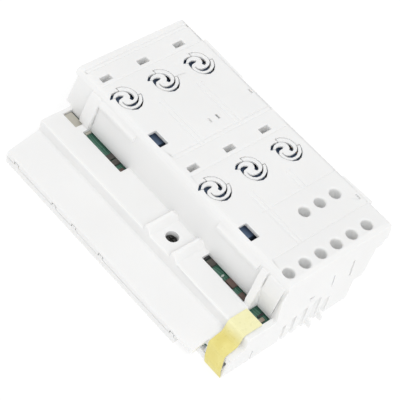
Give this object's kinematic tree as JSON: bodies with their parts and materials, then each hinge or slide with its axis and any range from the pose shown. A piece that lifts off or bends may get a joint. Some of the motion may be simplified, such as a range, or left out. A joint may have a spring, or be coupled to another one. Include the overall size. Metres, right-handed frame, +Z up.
{
  "type": "multi-channel solid state relay housing",
  "caption": "White two-shell solid state relay case with a tall block, a low connector flange, sprung spiral pads over blue relay modules and a slotted deck.",
  "frame": {"origin": "middle of the flat base of the case on the resting surface, the two small fins at the front foot left out", "axes": "+X along the long side towards the vented front end, +Y from the low flange across to the tall block, +Z up"},
  "size_m": [0.1506, 0.104, 0.04],
  "materials": {
    "white_plastic": "fine moulded satin",
    "board_green": "solder mask over woven laminate",
    "relay_blue": "moulded satin",
    "black_steel": "black oxide",
    "yellow_tape": "translucent adhesive film",
    "header_plastic": "moulded satin",
    "chip_plastic": "moulded matt",
    "capacitor_ceramic": "fired matt"
  },
  "bodies": {
    "housing": {"base_tray": "white_plastic", "top_cover": "white_plastic", "circuit_board": "board_green", "relay_module_1": "relay_blue", "relay_module_2": "relay_blue", "relay_module_3": "relay_blue", "relay_module_4": "relay_blue", "relay_module_5": "relay_blue", "relay_module_6": "relay_blue", "cover_screw": "black_steel", "tape_strip": "yellow_tape", "rear_header": "header_plastic", "side_board": "board_green", "board_chip": "chip_plastic", "board_capacitor": "capacitor_ceramic"},
    "pad_1": {"spring_pad_1": "white_plastic"},
    "pad_2": {"spring_pad_2": "white_plastic"},
    "pad_3": {"spring_pad_3": "white_plastic"},
    "pad_4": {"spring_pad_4": "white_plastic"},
    "pad_5": {"spring_pad_5": "white_plastic"},
    "pad_6": {"spring_pad_6": "white_plastic"}
  },
  "joints": [
    {"name": "pad_press_1", "type": "slide", "parent": "housing", "child": "pad_1", "axis": [0, 0, -1], "range_m": [0, 0.0012], "stiffness_N_per_m": 1200},
    {"name": "pad_press_2", "type": "slide", "parent": "housing", "child": "pad_2", "axis": [0, 0, -1], "range_m": [0, 0.0012], "stiffness_N_per_m": 1200},
    {"name": "pad_press_3", "type": "slide", "parent": "housing", "child": "pad_3", "axis": [0, 0, -1], "range_m": [0, 0.0012], "stiffness_N_per_m": 1200},
    {"name": "pad_press_4", "type": "slide", "parent": "housing", "child": "pad_4", "axis": [0, 0, -1], "range_m": [0, 0.0012], "stiffness_N_per_m": 1200},
    {"name": "pad_press_5", "type": "slide", "parent": "housing", "child": "pad_5", "axis": [0, 0, -1], "range_m": [0, 0.0012], "stiffness_N_per_m": 1200},
    {"name": "pad_press_6", "type": "slide", "parent": "housing", "child": "pad_6", "axis": [0, 0, -1], "range_m": [0, 0.0012], "stiffness_N_per_m": 1200}
  ]
}
